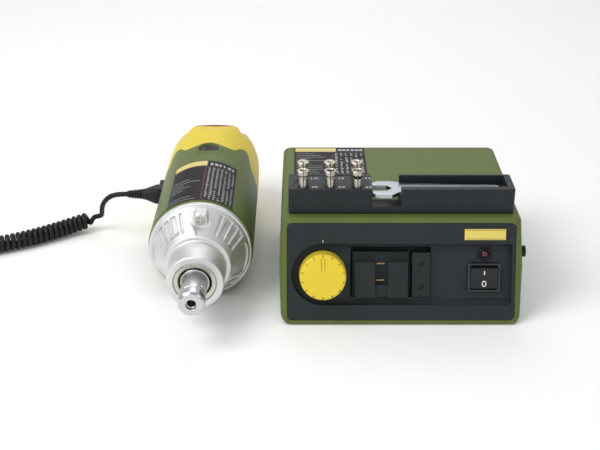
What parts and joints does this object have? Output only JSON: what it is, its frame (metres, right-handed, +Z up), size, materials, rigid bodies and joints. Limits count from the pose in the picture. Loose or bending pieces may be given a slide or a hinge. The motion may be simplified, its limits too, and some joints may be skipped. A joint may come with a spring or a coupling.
{
  "type": "milling spindle with control unit",
  "caption": "Precision milling spindle motor with clamping collar and curly plug-in lead, beside its bench control unit with speed knob, rocker switch and collet tray.",
  "frame": {"origin": "bottom centre of the set without its loose lead, on the surface that it stands on", "axes": "+Z up, +X to the right towards the control unit, -Y towards the front panel and the spindle's nose"},
  "size_m": [0.5599, 0.2726, 0.1121],
  "materials": {
    "green_case": "fine moulded grain",
    "green_housing": "satin moulded",
    "black_plastic": "fine grain",
    "yellow_plastic": "satin",
    "cast_aluminium": "die cast, blasted",
    "steel": "turned",
    "rubber": "matt",
    "copper": "lacquered",
    "red_lens": "clear red",
    "green_board": "lacquered",
    "carbon": "graphite",
    "cord": "smooth jacket",
    "fan_plastic": "moulded"
  },
  "bodies": {
    "control_unit": {"lower_case": "green_case", "upper_case": "green_case", "front_panel": "black_plastic", "potentiometer": "black_plastic", "motor_socket_block": "black_plastic", "socket_contacts": "copper", "socket_strip": "black_plastic", "strip_screws": "steel", "led_bezel": "black_plastic", "led_lens": "red_lens", "switch_frame": "black_plastic", "badge_plate": "yellow_plastic", "collet_tray": "black_plastic", "case_screws": "steel", "rubber_feet": "rubber", "transformer_core": "steel", "transformer_winding": "copper", "circuit_board": "green_board", "board_components": "cast_aluminium", "fuse_holder": "black_plastic", "mains_inlet": "black_plastic"},
    "knob": {"speed_knob": "yellow_plastic", "potentiometer_shaft": "steel"},
    "rocker": {"switch_rocker": "black_plastic"},
    "motor": {"nose_casting": "cast_aluminium", "nose_screws": "steel", "front_bearing_outer": "steel", "motor_housing": "green_housing", "rear_cap": "yellow_plastic", "bearing_bracket": "cast_aluminium", "rear_bearing_outer": "steel", "stator_core": "steel", "field_coils": "copper", "brush_holders": "black_plastic", "carbon_brushes": "carbon", "brush_springs": "steel", "brush_caps": "black_plastic", "lead_inlet": "black_plastic"},
    "rotor": {"spindle": "steel", "collet_nut": "steel", "nose_collet": "steel", "front_bearing_inner": "steel", "front_bearing_balls": "steel", "rear_bearing_inner": "steel", "armature_core": "steel", "armature_winding": "copper", "commutator": "copper", "cooling_fan": "fan_plastic"},
    "lead": {"lead_plug": "black_plastic", "lead_run": "cord", "lead_curl": "cord", "lead_tail": "cord", "lead_end_plug": "black_plastic"},
    "spanner": {"spanner": "steel"},
    "collet_2_35": {"collet_2_35": "steel"},
    "collet_3_0": {"collet_3_0": "steel"},
    "collet_3_2": {"collet_3_2": "steel"},
    "collet_4_0": {"collet_4_0": "steel"},
    "collet_5_0": {"collet_5_0": "steel"},
    "collet_6_0": {"collet_6_0": "steel"}
  },
  "joints": [
    {"name": "speed_knob_turn", "type": "hinge", "parent": "control_unit", "child": "knob", "pos_m": [-0.00785, -0.08456, 0.03738], "axis": [0, -0.9511, 0.309], "range_deg": [-135, 135]},
    {"name": "switch_rock", "type": "hinge", "parent": "control_unit", "child": "rocker", "pos_m": [0.11465, -0.07997, 0.03273], "axis": [1, 0, 0], "range_deg": [-12, 0]},
    {"name": "motor_lift", "type": "slide", "parent": "control_unit", "child": "motor", "axis": [0, 0, 1], "range_m": [0, 0.06]},
    {"name": "spindle_spin", "type": "hinge", "parent": "motor", "child": "rotor", "pos_m": [-0.10275, -0.0763, 0.041], "axis": [0, 1, 0], "continuous": true},
    {"name": "lead_plug_pull", "type": "slide", "parent": "motor", "child": "lead", "axis": [-1, 0, 0], "range_m": [0, 0.02]},
    {"name": "spanner_lift", "type": "slide", "parent": "control_unit", "child": "spanner", "axis": [0, 0, 1], "range_m": [0, 0.04]},
    {"name": "collet_2_35_lift", "type": "slide", "parent": "control_unit", "child": "collet_2_35", "axis": [0, 0, 1], "range_m": [0, 0.03]},
    {"name": "collet_3_0_lift", "type": "slide", "parent": "control_unit", "child": "collet_3_0", "axis": [0, 0, 1], "range_m": [0, 0.03]},
    {"name": "collet_3_2_lift", "type": "slide", "parent": "control_unit", "child": "collet_3_2", "axis": [0, 0, 1], "range_m": [0, 0.03]},
    {"name": "collet_4_0_lift", "type": "slide", "parent": "control_unit", "child": "collet_4_0", "axis": [0, 0, 1], "range_m": [0, 0.03]},
    {"name": "collet_5_0_lift", "type": "slide", "parent": "control_unit", "child": "collet_5_0", "axis": [0, 0, 1], "range_m": [0, 0.03]},
    {"name": "collet_6_0_lift", "type": "slide", "parent": "control_unit", "child": "collet_6_0", "axis": [0, 0, 1], "range_m": [0, 0.03]}
  ]
}
